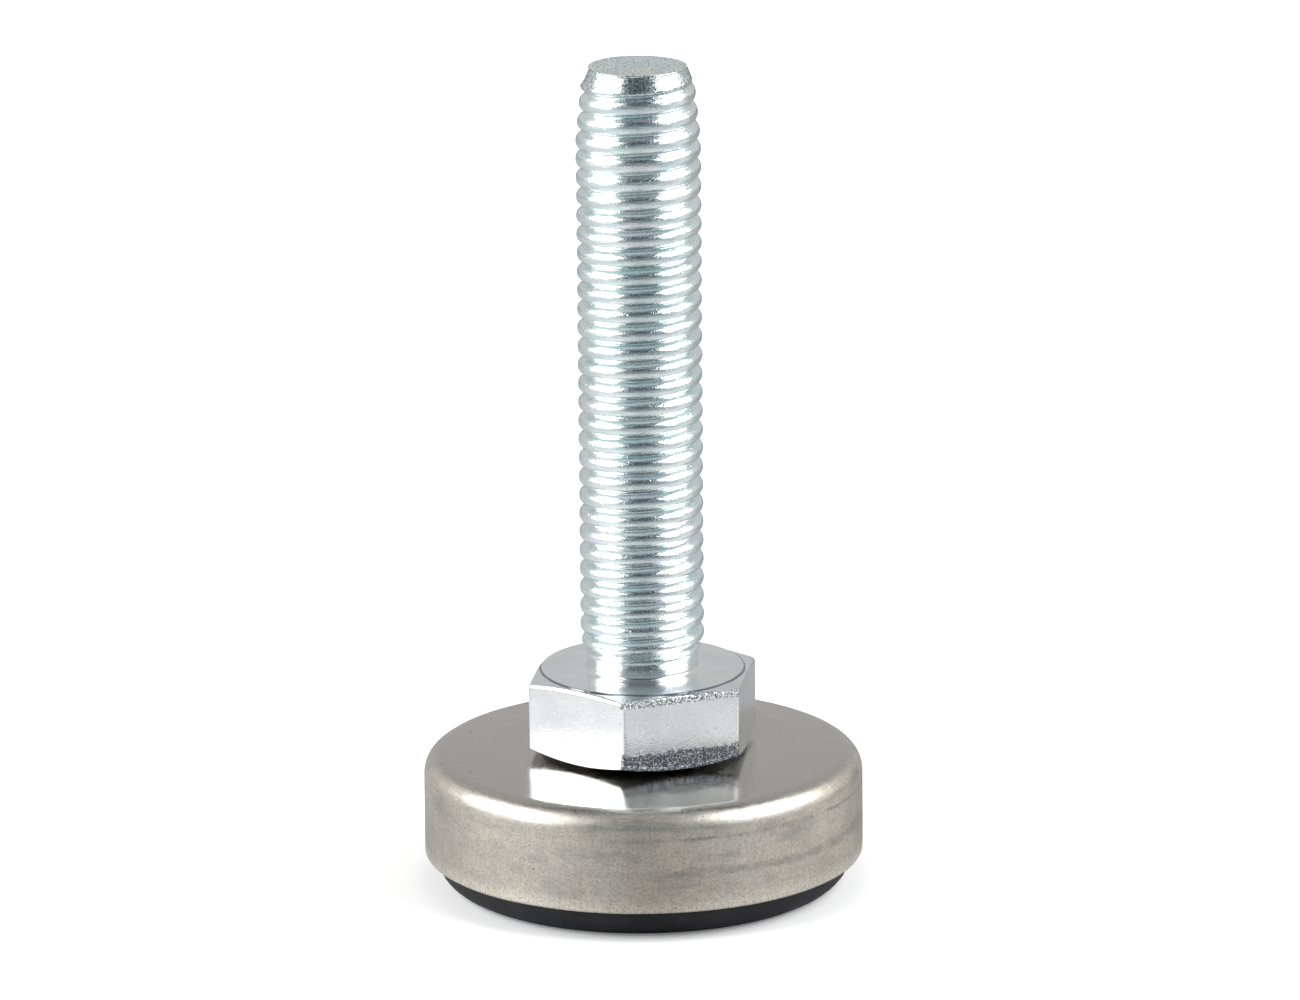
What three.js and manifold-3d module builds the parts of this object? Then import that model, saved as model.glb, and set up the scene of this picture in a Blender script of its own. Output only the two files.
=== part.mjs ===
// Furniture leveling foot. A threaded stem with a hexagonal collar is riveted into a round foot,
// where it turns freely and tilts a little. The foot is a drawn steel cap over a rubber pad.
// Millimetres. +Z is up, the floor is Z = 0 and the stem's axis is X = Y = 0.

import * as THREE from 'three';
import { mergeVertices } from 'three/addons/utils/BufferGeometryUtils.js';
import Module from 'manifold-3d';

const wasm = await Module();
wasm.setup();

// Driving dimensions.

const TOTAL_HEIGHT = 65.8;
const GAP = 0.3; // air between pieces that rest on each other

const THREAD_RADIUS = 4.93; // M10 under its plating
const THREAD_PITCH = 1.5;
const THREAD_DEPTH = 0.65; // rolled shallow, with round crests that meet in narrow roots
const CREST_AT_X = 0.717; // height of the crest on the +X side, above a whole number of pitches
const STEM_END_RADIUS = 3.77;
const NECK_RADIUS = 4.4;

const HEX_CORNER_RADIUS = 9.655; // 16.7 across flats, for a 17 mm spanner
const HEX_BOTTOM = 11.13;
const HEX_HEIGHT = 6.27;
const HEX_TURN = -10.1; // degrees from -Y to the front corner

const CAP_RADIUS = 17.4;
const CAP_TOP = 10.85;
const CAP_FLAT_RADIUS = 12; // beyond it the top slopes gently down
const CAP_CROWN = 0.22; // drop from there to the bend
const CAP_RIM = 2.42;
const CAP_SHEET = 0.8;
const CAP_BEND = 1.8; // outer radius between the top and the wall

const PAD_RADIUS = 16.45;
const PAD_EDGE = 2.2; // rounding of the edge on the floor
const PAD_POCKET_RADIUS = 8.2;
const PAD_POCKET_FLOOR = 2.9;

const PLATE_RADIUS = 12;
const PLATE_THICKNESS = 2.0;

const TENON_RADIUS = 3.9; // shank of the rivet, below the collar
const WASHER_RADIUS = 7.2;
const FRICTION_WASHER_THICKNESS = 0.8;
const RIVET_WASHER_THICKNESS = 1.2;
const RIVET_HEAD_RADIUS = 5.8;
const RIVET_HEAD_HEIGHT = 1.5;

// Heights that follow from them, from the cap downwards.

const HEX_TOP = HEX_BOTTOM + HEX_HEIGHT;
const CAP_WALL_TOP = CAP_TOP - CAP_CROWN - CAP_BEND;
const CAP_INNER_TOP = CAP_TOP - CAP_SHEET;
const PLATE_TOP = CAP_INNER_TOP - GAP;
const PLATE_BOTTOM = PLATE_TOP - PLATE_THICKNESS;
const FRICTION_WASHER_TOP = PLATE_BOTTOM - GAP;
const FRICTION_WASHER_BOTTOM = FRICTION_WASHER_TOP - FRICTION_WASHER_THICKNESS;
const RIVET_WASHER_TOP = FRICTION_WASHER_BOTTOM - GAP;
const RIVET_WASHER_BOTTOM = RIVET_WASHER_TOP - RIVET_WASHER_THICKNESS;
const RIVET_HEAD_TOP = RIVET_WASHER_BOTTOM - GAP;
const RIVET_HEAD_BOTTOM = RIVET_HEAD_TOP - RIVET_HEAD_HEIGHT;

// Fineness of the round shapes.

const ROUND_STEPS = 48;
const SMALL_ROUND_STEPS = 32;
const THREAD_STEPS = 20; // per turn

// Shape helpers.

function point(radius, height) {
  return new THREE.Vector2(radius, height);
}

// Points of a round corner, from one angle to another in degrees, about a centre in the profile.
function roundCorner(centreRadius, centreHeight, bend, fromAngle, toAngle, steps) {
  const points = [];
  for (let step = 0; step <= steps; step += 1) {
    const angle = THREE.MathUtils.degToRad(fromAngle + (toAngle - fromAngle) * step / steps);
    points.push(point(centreRadius + bend * Math.cos(angle), centreHeight + bend * Math.sin(angle)));
  }
  return points;
}

// A profile turned about the Z axis. The profile climbs on its outer side.
function turned(profile, steps = ROUND_STEPS) {
  return new THREE.LatheGeometry(profile, steps).rotateX(Math.PI / 2);
}

// A flat ring about the Z axis.
function ring(innerRadius, outerRadius, bottom, top, steps = SMALL_ROUND_STEPS) {
  return turned([
    point(innerRadius, bottom),
    point(outerRadius, bottom),
    point(outerRadius, top),
    point(innerRadius, top),
    point(innerRadius, bottom),
  ], steps);
}

function toSolid(geometry) {
  const bare = geometry.clone();
  bare.deleteAttribute('normal');
  bare.deleteAttribute('uv');
  const merged = mergeVertices(bare);
  return new wasm.Manifold(new wasm.Mesh({
    numProp: 3,
    vertProperties: Float32Array.from(merged.attributes.position.array),
    triVerts: Uint32Array.from(merged.index.array),
  }));
}

function toGeometry(solid) {
  const mesh = solid.getMesh();
  const geometry = new THREE.BufferGeometry();
  geometry.setAttribute('position', new THREE.BufferAttribute(mesh.vertProperties, 3));
  geometry.setIndex(new THREE.BufferAttribute(mesh.triVerts, 1));
  return geometry;
}

// The threaded stem.

// A closed right-hand screw whose rows of points climb with the thread, so that its crests and
// roots are whole edges. Its two ends are rough, because the stem's outline cuts them off.
function screw(bottom, top) {
  const crestHalf = 0.12;
  const shoulderHalf = 0.36;
  const rootHalf = 0.03;
  const shoulderRadius = THREAD_RADIUS - 0.27;
  const rootRadius = THREAD_RADIUS - THREAD_DEPTH;
  const section = [
    { along: -shoulderHalf, radius: shoulderRadius },
    { along: -crestHalf, radius: THREAD_RADIUS },
    { along: crestHalf, radius: THREAD_RADIUS },
    { along: shoulderHalf, radius: shoulderRadius },
    { along: 0.5 - rootHalf, radius: rootRadius },
    { along: 0.5 + rootHalf, radius: rootRadius },
  ];
  const rowsPerTurn = section.length;
  const firstTurn = Math.floor(bottom / THREAD_PITCH) - 2;
  const lastTurn = Math.ceil(top / THREAD_PITCH) + 1;
  const lastRow = (lastTurn - firstTurn) * rowsPerTurn;

  const positions = [];
  for (let row = 0; row <= lastRow; row += 1) {
    const { along, radius } = section[row % rowsPerTurn];
    const turn = firstTurn + Math.floor(row / rowsPerTurn);
    for (let step = 0; step < THREAD_STEPS; step += 1) {
      const angle = 2 * Math.PI * step / THREAD_STEPS;
      const height = CREST_AT_X + THREAD_PITCH * (turn + along + step / THREAD_STEPS);
      positions.push(radius * Math.cos(angle), radius * Math.sin(angle), height);
    }
  }

  // One step past the last in a row comes the first step of the row one turn higher.
  const at = (row, step) => (
    step === THREAD_STEPS ? (row + rowsPerTurn) * THREAD_STEPS : row * THREAD_STEPS + step
  );
  const triangles = [];
  for (let step = 0; step < THREAD_STEPS; step += 1) {
    const rows = step === THREAD_STEPS - 1 ? lastRow - rowsPerTurn : lastRow;
    for (let row = 0; row < rows; row += 1) {
      triangles.push(at(row, step), at(row, step + 1), at(row + 1, step + 1));
      triangles.push(at(row, step), at(row + 1, step + 1), at(row + 1, step));
    }
  }

  // Each end is a fan about a point on the axis.
  const lowerRim = [];
  const upperRim = [];
  for (let step = 0; step < THREAD_STEPS; step += 1) {
    lowerRim.push(at(0, step));
    upperRim.push(at(lastRow, step));
  }
  for (let row = rowsPerTurn; row > 0; row -= 1) {
    lowerRim.push(at(row, 0));
  }
  for (let row = lastRow - 1; row >= lastRow - rowsPerTurn; row -= 1) {
    upperRim.push(at(row, THREAD_STEPS - 1));
  }
  const lowerCentre = positions.length / 3;
  const upperCentre = lowerCentre + 1;
  positions.push(0, 0, CREST_AT_X + THREAD_PITCH * (firstTurn + 0.5));
  positions.push(0, 0, CREST_AT_X + THREAD_PITCH * (lastTurn + 0.5));
  lowerRim.forEach((index, place) => {
    triangles.push(lowerCentre, lowerRim[(place + 1) % lowerRim.length], index);
  });
  upperRim.forEach((index, place) => {
    triangles.push(upperCentre, index, upperRim[(place + 1) % upperRim.length]);
  });

  const geometry = new THREE.BufferGeometry();
  geometry.setAttribute('position', new THREE.Float32BufferAttribute(positions, 3));
  geometry.setIndex(triangles);
  return geometry;
}

// The outline that the thread was rolled within: a chamfered end, a few turns that taper up to
// the full diameter, and a run-out above the collar.
function threadOutline() {
  const clear = THREAD_RADIUS + 0.3;
  return turned([
    point(0, HEX_TOP + 0.6),
    point(NECK_RADIUS - 0.1, HEX_TOP + 0.6),
    point(THREAD_RADIUS, HEX_TOP + 2.6),
    point(clear, HEX_TOP + 3.2),
    point(clear, TOTAL_HEIGHT - 6.8),
    point(THREAD_RADIUS, TOTAL_HEIGHT - 6),
    point(THREAD_RADIUS - 0.2, TOTAL_HEIGHT - 3.6),
    point(THREAD_RADIUS - 0.38, TOTAL_HEIGHT - 2.1),
    point(THREAD_RADIUS - 0.68, TOTAL_HEIGHT - 1.2),
    point(STEM_END_RADIUS, TOTAL_HEIGHT),
    point(0, TOTAL_HEIGHT),
  ], SMALL_ROUND_STEPS);
}

function collar() {
  const lowerFlat = 8.2;
  const beyond = HEX_CORNER_RADIUS + 0.5;
  const slope = Math.tan(THREE.MathUtils.degToRad(22));
  const upperFlat = 8;
  const bevel = 0.13; // the round upper face stands this far above the ledge round it
  const ledgeSlope = Math.tan(THREE.MathUtils.degToRad(11));
  const ledgeRadius = upperFlat + bevel;
  const prism = new THREE.CylinderGeometry(HEX_CORNER_RADIUS, HEX_CORNER_RADIUS, HEX_HEIGHT, 6);
  prism.rotateX(Math.PI / 2);
  prism.rotateZ(THREE.MathUtils.degToRad(HEX_TURN));
  prism.translate(0, 0, HEX_BOTTOM + HEX_HEIGHT / 2);
  const chamfers = turned([
    point(0, HEX_BOTTOM),
    point(lowerFlat, HEX_BOTTOM),
    point(beyond, HEX_BOTTOM + slope * (beyond - lowerFlat)),
    point(beyond, HEX_TOP - bevel - ledgeSlope * (beyond - ledgeRadius)),
    point(ledgeRadius, HEX_TOP - bevel),
    point(upperFlat, HEX_TOP),
    point(0, HEX_TOP),
  ]);
  return toSolid(prism).intersect(toSolid(chamfers));
}

// The round parts of the stem: rivet head, tenon and neck.
function shank() {
  const domeHeight = 0.7;
  const inside = 1.5; // how far the neck's core reaches into the thread
  const neckTop = HEX_TOP + 1.3;
  return turned([
    point(0, RIVET_HEAD_BOTTOM),
    point(RIVET_HEAD_RADIUS - 2 * domeHeight, RIVET_HEAD_BOTTOM),
    point(RIVET_HEAD_RADIUS, RIVET_HEAD_BOTTOM + domeHeight),
    point(RIVET_HEAD_RADIUS, RIVET_HEAD_TOP),
    point(TENON_RADIUS, RIVET_HEAD_TOP),
    point(TENON_RADIUS, HEX_BOTTOM + HEX_HEIGHT / 2),
    point(NECK_RADIUS, HEX_BOTTOM + HEX_HEIGHT / 2),
    point(NECK_RADIUS, neckTop),
    point(TENON_RADIUS, neckTop + 0.4),
    point(TENON_RADIUS, neckTop + inside),
    point(0, neckTop + inside),
  ], SMALL_ROUND_STEPS);
}

function threadedStem() {
  const thread = toSolid(screw(HEX_TOP, TOTAL_HEIGHT)).intersect(toSolid(threadOutline()));
  return toGeometry(thread.add(toSolid(shank())).add(collar()));
}

// The foot.

const STEM_HOLE_RADIUS = TENON_RADIUS + 0.5; // room for the stem to tilt

function coverCap() {
  const innerRadius = CAP_RADIUS - CAP_SHEET;
  const innerBend = CAP_BEND - CAP_SHEET;
  const bendRadius = CAP_RADIUS - CAP_BEND;
  return turned([
    point(STEM_HOLE_RADIUS, CAP_INNER_TOP),
    point(CAP_FLAT_RADIUS, CAP_INNER_TOP),
    ...roundCorner(bendRadius, CAP_WALL_TOP, innerBend, 90, 0, 3),
    point(innerRadius, CAP_RIM),
    point(CAP_RADIUS, CAP_RIM),
    ...roundCorner(bendRadius, CAP_WALL_TOP, CAP_BEND, 0, 90, 5),
    point(CAP_FLAT_RADIUS, CAP_TOP),
    point(STEM_HOLE_RADIUS, CAP_TOP),
    point(STEM_HOLE_RADIUS, CAP_INNER_TOP),
  ]);
}

function reinforcingPlate() {
  return ring(STEM_HOLE_RADIUS, PLATE_RADIUS, PLATE_BOTTOM, PLATE_TOP, ROUND_STEPS);
}

// A shallow round groove in the underside, as four points of the pad's profile.
function gripGroove(radius) {
  const halfWidth = 0.6;
  const depth = 0.5;
  return [
    point(radius - halfWidth, 0),
    point(radius - halfWidth + 0.2, depth),
    point(radius + halfWidth - 0.2, depth),
    point(radius + halfWidth, 0),
  ];
}

function footPad() {
  const flangeTop = CAP_RIM - GAP;
  const edgeAngle = THREE.MathUtils.radToDeg(Math.asin((flangeTop - PAD_EDGE) / PAD_EDGE));
  const plugRadius = CAP_RADIUS - CAP_SHEET - GAP;
  return turned([
    point(0, 0),
    ...gripGroove(9.4),
    ...gripGroove(12.2),
    ...roundCorner(PAD_RADIUS - PAD_EDGE, PAD_EDGE, PAD_EDGE, -90, edgeAngle, 5),
    point(plugRadius, flangeTop),
    point(plugRadius, CAP_WALL_TOP),
    point(PLATE_RADIUS + GAP, CAP_WALL_TOP),
    point(PLATE_RADIUS + GAP, PLATE_BOTTOM - GAP),
    point(PAD_POCKET_RADIUS, PLATE_BOTTOM - GAP),
    point(PAD_POCKET_RADIUS, PAD_POCKET_FLOOR),
    point(0, PAD_POCKET_FLOOR),
  ]);
}

// The loose washers on the tenon.

function frictionWasher() {
  return ring(TENON_RADIUS + 0.4, WASHER_RADIUS, FRICTION_WASHER_BOTTOM, FRICTION_WASHER_TOP);
}

function rivetWasher() {
  return ring(TENON_RADIUS + GAP, WASHER_RADIUS, RIVET_WASHER_BOTTOM, RIVET_WASHER_TOP);
}

// The assembly.

const foot = new THREE.Group();

function addPart(name, geometry, color, roughness, metalness) {
  const material = new THREE.MeshStandardMaterial({ color, roughness, metalness });
  const mesh = new THREE.Mesh(geometry, material);
  mesh.name = name;
  foot.add(mesh);
}

addPart('threaded_stem', threadedStem(), 0xc6ccce, 0.25, 1);
addPart('cover_cap', coverCap(), 0xb4b1a8, 0.35, 1);
addPart('reinforcing_plate', reinforcingPlate(), 0x8d8f91, 0.5, 1);
addPart('friction_washer', frictionWasher(), 0xe6e2d6, 0.6, 0);
addPart('rivet_washer', rivetWasher(), 0xa3a6a8, 0.4, 1);
addPart('foot_pad', footPad(), 0x17171b, 0.75, 0);

export default foot;
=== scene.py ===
import math

import bmesh
import bpy
import numpy as np
from mathutils import Matrix, Vector, noise


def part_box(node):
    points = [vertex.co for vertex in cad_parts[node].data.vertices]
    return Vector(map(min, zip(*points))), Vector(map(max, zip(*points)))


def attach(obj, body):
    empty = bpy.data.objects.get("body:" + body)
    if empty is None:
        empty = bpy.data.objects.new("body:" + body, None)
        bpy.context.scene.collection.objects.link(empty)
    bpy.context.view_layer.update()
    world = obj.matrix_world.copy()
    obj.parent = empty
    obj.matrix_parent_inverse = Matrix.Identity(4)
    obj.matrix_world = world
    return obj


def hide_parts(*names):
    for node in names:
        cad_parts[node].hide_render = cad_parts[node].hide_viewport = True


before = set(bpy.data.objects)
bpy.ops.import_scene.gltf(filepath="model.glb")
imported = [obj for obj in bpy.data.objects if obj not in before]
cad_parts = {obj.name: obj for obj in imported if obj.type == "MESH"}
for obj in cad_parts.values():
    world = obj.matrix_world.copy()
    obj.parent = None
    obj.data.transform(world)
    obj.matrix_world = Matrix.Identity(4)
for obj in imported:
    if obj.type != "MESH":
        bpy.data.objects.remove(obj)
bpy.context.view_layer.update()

MM = 0.001

FAN_RADIUS = 0.2 * MM  # flat round faces end in a fan of this radius about the axis
STEM_SPACING = 0.4 * MM  # between the stem's rows
BEND_SUPPORT = 0.05 * MM  # from a bend to the nearest row on the straight stretch beside it
SNAP_REACH = 0.004 * MM  # points this near a trimming plane are moved onto it

# ---------------------------------------------------------------------------------------------
# Sizes. Those that the frame holds are read from it, and the rest follow the CAD.
# ---------------------------------------------------------------------------------------------

cap_low, cap_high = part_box("cover_cap")
_, pad_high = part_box("foot_pad")
stem_low, stem_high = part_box("threaded_stem")
plate_low, plate_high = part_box("reinforcing_plate")
nylon_low, nylon_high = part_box("friction_washer")
steel_low, steel_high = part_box("rivet_washer")

THREAD_RADIUS = 4.93 * MM
THREAD_PITCH = 1.5 * MM
CREST_BEND = 0.65 * MM  # radius of the round crests
FLANK_ANGLE = math.radians(60)  # how far round each crest's arc goes, to either side
ROOT_BEND = 0.04 * MM
CREST_AT_X = 0.717 * MM  # height of the crest on the +X side, above a whole number of pitches
THREAD_COLUMNS = 120
NECK_RADIUS = 4.4 * MM
TENON_RADIUS = 3.9 * MM
RIVET_HEAD_RADIUS = 5.8 * MM
RIVET_HEAD_HEIGHT = 1.5 * MM
RIVET_HEAD_FLAT = 4.4 * MM  # radius of its underside, inside the chamfer
RIVET_HEAD_CHAMFER = 0.8 * MM  # height of the chamfer

HEX_CORNER_RADIUS = 9.655 * MM
HEX_BOTTOM = 11.13 * MM
HEX_TOP = 17.4 * MM
HEX_TURN = math.radians(-10.1)  # from -Y to the front corner
HEX_LOWER_FLAT = 8.2 * MM  # radius of the flat inside the chamfer
HEX_LOWER_SLOPE = math.tan(math.radians(22))
HEX_UPPER_FLAT = 8.0 * MM  # radius of the raised upper face
HEX_BEVEL = 0.13 * MM  # width and height of its bevelled edge
HEX_LEDGE_SLOPE = math.tan(math.radians(11))  # of the corners outside it
HEX_EDGE_BEND = 0.34 * MM  # between them and the side faces
HEX_CORNER_BEND = 0.3 * MM
HEX_FACE_RADIUS = HEX_CORNER_RADIUS * math.cos(math.pi / 6)

# The thread fades into the neck between these heights.
RUN_OUT_BOTTOM = HEX_TOP + 0.7 * MM
RUN_OUT_TOP = HEX_TOP + 2.9 * MM

# The thread's first turns are smaller and shallower, and its end is chamfered: radii by distance
# below the end.
TAPER_DEPTHS = np.array([2.1, 3.6, 6.0]) * MM
TAPER_RADII = np.array([4.55, 4.69, 4.93]) * MM
CHAMFER_DEPTHS = np.array([0, 1.2, 2.1]) * MM
CHAMFER_RADII = np.array([3.77, 4.28, 5.0]) * MM
CHAMFER_SHIFT = 0.07 * MM  # the chamfer is off centre by this much, towards +X
CHAMFER_ROUNDING = 0.12 * MM  # of the crests where they meet the chamfer
SHALLOW_SHARE = 0.25  # how much shallower the thread is near its end
SHALLOW_FROM = 12 * MM  # depths below the end where this starts and is complete
SHALLOW_TO = 8 * MM
STEM_END_EDGE = 0.12 * MM  # height of the rounded edge of the end face

CAP_FLAT_RADIUS = 12 * MM
CAP_CROWN = 0.22 * MM  # drop of the top from there to the bend
CAP_SHEET = 0.8 * MM
CAP_BEND = 1.8 * MM
PAD_RADIUS = pad_high.x
PAD_EDGE = 2.156 * MM  # bend of its lower edge
STEM_HOLE_RADIUS = TENON_RADIUS + 0.5 * MM  # in the cap and the plate

# ---------------------------------------------------------------------------------------------
# Camera
# ---------------------------------------------------------------------------------------------

CAMERA_PLACE = (-13.13 * MM, -580.93 * MM, 189.23 * MM)
CAMERA_PITCH = 15.238  # degrees downwards
CAMERA_YAW = 1.364  # degrees, from +Y towards +X
CAMERA_ROLL = -0.463  # degrees
CAMERA_LENS = 212.4  # millimetres of focal length


def add_camera():
    """A long lens a little above the foot, level but for a slight roll."""
    pitch = math.radians(CAMERA_PITCH)
    yaw = math.radians(CAMERA_YAW)
    roll = math.radians(CAMERA_ROLL)
    forward = Vector((
        math.sin(yaw) * math.cos(pitch),
        math.cos(yaw) * math.cos(pitch),
        -math.sin(pitch),
    ))
    level = Vector((math.cos(yaw), -math.sin(yaw), 0))
    upward = level.cross(forward)
    right = math.cos(roll) * level + math.sin(roll) * upward
    up = math.cos(roll) * upward - math.sin(roll) * level
    turn = Matrix((right, up, -forward)).transposed()
    data = bpy.data.cameras.new("camera")
    data.sensor_width = 36
    data.lens = CAMERA_LENS
    camera = bpy.data.objects.new("camera", data)
    camera.matrix_world = Matrix.Translation(CAMERA_PLACE) @ turn.to_4x4()
    bpy.context.scene.collection.objects.link(camera)
    bpy.context.scene.camera = camera


add_camera()

# ---------------------------------------------------------------------------------------------
# Mesh tools. A section is a list of rows, and a row holds (radius, height) once for each column.
# ---------------------------------------------------------------------------------------------


def even_columns(count):
    """Angles of columns evenly spread round the axis."""
    return np.arange(count) * (2 * math.pi / count)


def unit(vectors):
    return vectors / np.linalg.norm(vectors, axis=1, keepdims=True)


def arc_rows(before, corner, after, bend, steps):
    """Rows that replace a corner of the section by an arc of radius bend."""
    back = unit(before - corner)
    ahead = unit(after - corner)
    half = np.arccos(np.clip((back * ahead).sum(axis=1), -1, 1)) / 2
    centre = corner + unit(back + ahead) * (bend / np.sin(half))[:, None]
    reach = (bend / np.tan(half))[:, None]
    first = corner + back * reach - centre
    last = corner + ahead * reach - centre
    start = np.arctan2(first[:, 1], first[:, 0])
    sweep = np.arctan2(last[:, 1], last[:, 0]) - start
    sweep = (sweep + math.pi) % (2 * math.pi) - math.pi
    rows = []
    for step in range(steps + 1):
        angle = start + sweep * step / steps
        rows.append(centre + bend * np.stack([np.cos(angle), np.sin(angle)], axis=1))
    return rows


def section(corners, columns, spacing, closed=False, steps=5):
    """Rows of a section from its corners, each (radius, height, bend). A radius or height may differ
    from column to column. Straight stretches get rows no further apart than spacing, and one close
    to each bend, so that flat faces shade flat."""
    points = []
    for radius, height, bend in corners:
        row = np.empty((columns, 2))
        row[:, 0] = radius
        row[:, 1] = height
        points.append((row, bend))
    rows = []
    count = len(points)
    for place, (row, bend) in enumerate(points):
        at_end = not closed and place in (0, count - 1)
        if at_end or bend == 0:
            rows.append([row])
        else:
            before = points[place - 1][0]
            after = points[(place + 1) % count][0]
            rows.append(arc_rows(before, row, after, bend, steps))
    filled = []
    for place, group in enumerate(rows):
        filled.extend(group)
        if place == count - 1 and not closed:
            break
        start = group[-1]
        end = rows[(place + 1) % count][0]
        length = np.linalg.norm(end - start, axis=1).mean()
        parts = max(1, math.ceil(length / spacing))
        support = min(BEND_SUPPORT / length, 0.2)
        shares = [step / parts for step in range(1, parts)]
        shares = sorted(set([support, 1 - support] + shares))
        filled.extend(start + (end - start) * share for share in shares)
    return filled


def to_points(rows, angles):
    """Points in space of a section's rows, as an array of rows by columns by three."""
    flat = np.array(rows)
    return np.stack([
        flat[:, :, 0] * np.cos(angles),
        flat[:, :, 0] * np.sin(angles),
        flat[:, :, 1],
    ], axis=2)


class Builder:
    """Collects points and faces, then makes one mesh of them."""

    def __init__(self):
        self.points = []
        self.faces = []

    def add_points(self, points):
        first = len(self.points)
        self.points.extend(np.asarray(points).reshape(-1, 3).tolist())
        return first

    def add_rows(self, rows, angles, closed=False):
        """Adds a turned surface and returns the point numbers of its first and last rows."""
        points = to_points(rows, angles)
        count, columns = points.shape[:2]
        first = self.add_points(points)
        numbers = first + np.arange(count * columns).reshape(count, columns)
        last = count if closed else count - 1
        for row in range(last):
            lower = numbers[row]
            upper = numbers[(row + 1) % count]
            for column in range(columns):
                beyond = (column + 1) % columns
                self.faces.append((lower[column], lower[beyond], upper[beyond], upper[column]))
        return list(numbers[0]), list(numbers[-1])

    def close_with_point(self, ring, height, facing_up):
        """Closes a row with a fan about a point on the axis."""
        centre = self.add_points([[0, 0, height]])
        for place, number in enumerate(ring):
            beyond = ring[(place + 1) % len(ring)]
            self.faces.append((number, beyond, centre) if facing_up else (beyond, number, centre))

    def angle_of(self, number):
        x, y, _ = self.points[number]
        return math.atan2(y, x) % (2 * math.pi)

    def zip_rings(self, lower, upper):
        """Joins two rows that need not have the same number of points."""
        lower = sorted(lower, key=self.angle_of)
        upper = sorted(upper, key=self.angle_of)
        low = high = 0
        while low < len(lower) or high < len(upper):
            this_low = lower[low % len(lower)]
            this_high = upper[high % len(upper)]
            next_low = lower[(low + 1) % len(lower)]
            next_high = upper[(high + 1) % len(upper)]
            low_angle = self.angle_of(next_low) + (2 * math.pi if low + 1 >= len(lower) else 0)
            high_angle = self.angle_of(next_high) + (2 * math.pi if high + 1 >= len(upper) else 0)
            if high >= len(upper) or (low < len(lower) and low_angle <= high_angle):
                self.faces.append((this_low, next_low, this_high))
                low += 1
            else:
                self.faces.append((this_low, next_high, this_high))
                high += 1

    def make(self, name):
        mesh = bpy.data.meshes.new(name)
        mesh.from_pydata(self.points, [], self.faces)
        mesh.polygons.foreach_set("use_smooth", [True] * len(mesh.polygons))
        mesh.validate()
        piece = bpy.data.objects.new(name, mesh)
        bpy.context.scene.collection.objects.link(piece)
        return piece


def wobble(piece, amount, size, seed):
    """Moves the points inwards by smooth noise, as real faces are never quite true."""
    mesh = piece.data
    shift = Vector((seed * 17.3, seed * 5.1, seed * 9.7))
    moved = []
    for vertex in mesh.vertices:
        height = noise.noise(vertex.co / size + shift)
        moved.append(vertex.co + vertex.normal * (amount * (height - 1)))
    mesh.vertices.foreach_set("co", np.array(moved).ravel())
    mesh.update()


def turned_piece(name, corners, columns, spacing, closed=False, steps=5):
    """A piece turned about the stem's axis, closed on itself or by a point at each end."""
    builder = Builder()
    rows = section(corners, columns, spacing, closed, steps)
    first, last = builder.add_rows(rows, even_columns(columns), closed)
    if not closed:
        builder.close_with_point(first, corners[0][1], facing_up=False)
        builder.close_with_point(last, corners[-1][1], facing_up=True)
    return builder.make(name)


# ---------------------------------------------------------------------------------------------
# Stem
# ---------------------------------------------------------------------------------------------


def hexagon():
    """Angles and radii of points round the collar's outline, close together at its corners."""
    inner_corner = HEX_CORNER_RADIUS - HEX_CORNER_BEND / math.cos(math.pi / 6)
    face_half = inner_corner * math.sin(math.pi / 6)
    corner_steps = 8
    face_steps = 44
    angles = []
    radii = []
    for side in range(6):
        corner = HEX_TURN - math.pi / 2 + side * math.pi / 3
        for step in range(corner_steps):
            bend = math.radians(-30 + 60 * step / corner_steps)
            x = inner_corner + HEX_CORNER_BEND * math.cos(bend)
            y = HEX_CORNER_BEND * math.sin(bend)
            angles.append(corner + math.atan2(y, x))
            radii.append(math.hypot(x, y))
        for step in range(face_steps):
            along = face_half * (2 * step / face_steps - 1)
            angles.append(corner + math.pi / 6 + math.atan2(along, HEX_FACE_RADIUS))
            radii.append(math.hypot(along, HEX_FACE_RADIUS))
    return np.array(angles), np.array(radii)


def forged_rows(angles, radii):
    """The stem from the rivet head's underside up to the plain neck."""
    head_bottom = stem_low.z
    head_top = head_bottom + RIVET_HEAD_HEIGHT
    lower_edge = HEX_BOTTOM + HEX_LOWER_SLOPE * (radii - HEX_LOWER_FLAT)
    upper = upper_edge_rows(angles, radii)
    lower_corners = [
        (FAN_RADIUS, head_bottom, 0),
        (RIVET_HEAD_FLAT, head_bottom, 0.8 * MM),
        (RIVET_HEAD_RADIUS, head_bottom + RIVET_HEAD_CHAMFER, 0.5 * MM),
        (RIVET_HEAD_RADIUS, head_top, 0.15 * MM),
        (TENON_RADIUS, head_top, 0.2 * MM),
        (TENON_RADIUS, HEX_BOTTOM, 0.3 * MM),
        (HEX_LOWER_FLAT, HEX_BOTTOM, 0.3 * MM),
        (radii, lower_edge, 0.16 * MM),
        (radii, upper[0][:, 1], 0),
    ]
    upper_corners = [
        (upper[-1][:, 0], HEX_TOP, 0),
        (NECK_RADIUS, HEX_TOP, 0.35 * MM),
        (NECK_RADIUS, RUN_OUT_BOTTOM - 0.05 * MM, 0),
    ]
    lower_rows = section(lower_corners, len(radii), STEM_SPACING)
    upper_rows = section(upper_corners, len(radii), STEM_SPACING)
    return lower_rows[:-1] + upper + upper_rows[1:]


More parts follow.
